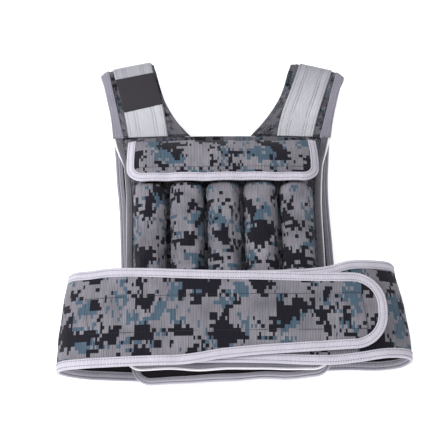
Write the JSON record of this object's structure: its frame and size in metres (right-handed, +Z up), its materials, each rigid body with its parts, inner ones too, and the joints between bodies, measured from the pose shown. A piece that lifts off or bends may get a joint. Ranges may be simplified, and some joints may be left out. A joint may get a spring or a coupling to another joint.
{
  "type": "weighted vest",
  "caption": "Short weighted vest lying on its back, with upright weight channels under a flap on each side, folded shoulder straps and a fastened waist belt.",
  "frame": {"origin": "middle of the underside of the vest's box, on the floor that it lies on", "axes": "+Z up through the front of the vest, +Y towards the shoulders, +X to the right of someone who looks down on the front"},
  "size_m": [0.4872, 0.491, 0.1115],
  "materials": {
    "camo_cloth": null,
    "pale_tape": "pale lavender-grey binding tape with two rows of stitches",
    "grey_tape": "mid-grey ribbed binding tape",
    "webbing": "light grey woven webbing with lengthwise stitch lines",
    "patch": "matt near-black woven patch, bare"
  },
  "bodies": {
    "root": {"back_panel": "camo_cloth", "back_channel_1": "camo_cloth", "back_channel_2": "camo_cloth", "back_channel_3": "camo_cloth", "back_channel_4": "camo_cloth", "back_channel_5": "camo_cloth", "back_flap": "camo_cloth", "front_panel": "camo_cloth", "front_channel_1": "camo_cloth", "front_channel_2": "camo_cloth", "front_channel_3": "camo_cloth", "front_channel_4": "camo_cloth", "front_channel_5": "camo_cloth", "front_flap": "camo_cloth", "strap_left": "camo_cloth", "strap_right": "camo_cloth", "belt_back": "camo_cloth", "belt_under": "camo_cloth", "belt_over": "camo_cloth", "back_flap_binding": "pale_tape", "front_panel_binding": "pale_tape", "front_flap_binding": "pale_tape", "belt_back_binding_low": "pale_tape", "belt_back_binding_top": "pale_tape", "belt_under_binding": "pale_tape", "belt_over_binding": "pale_tape", "back_panel_binding": "grey_tape", "strap_binding_left": "grey_tape", "strap_binding_right": "grey_tape", "webbing_left": "webbing", "webbing_right": "webbing", "label_patch": "patch"}
  },
  "joints": []
}
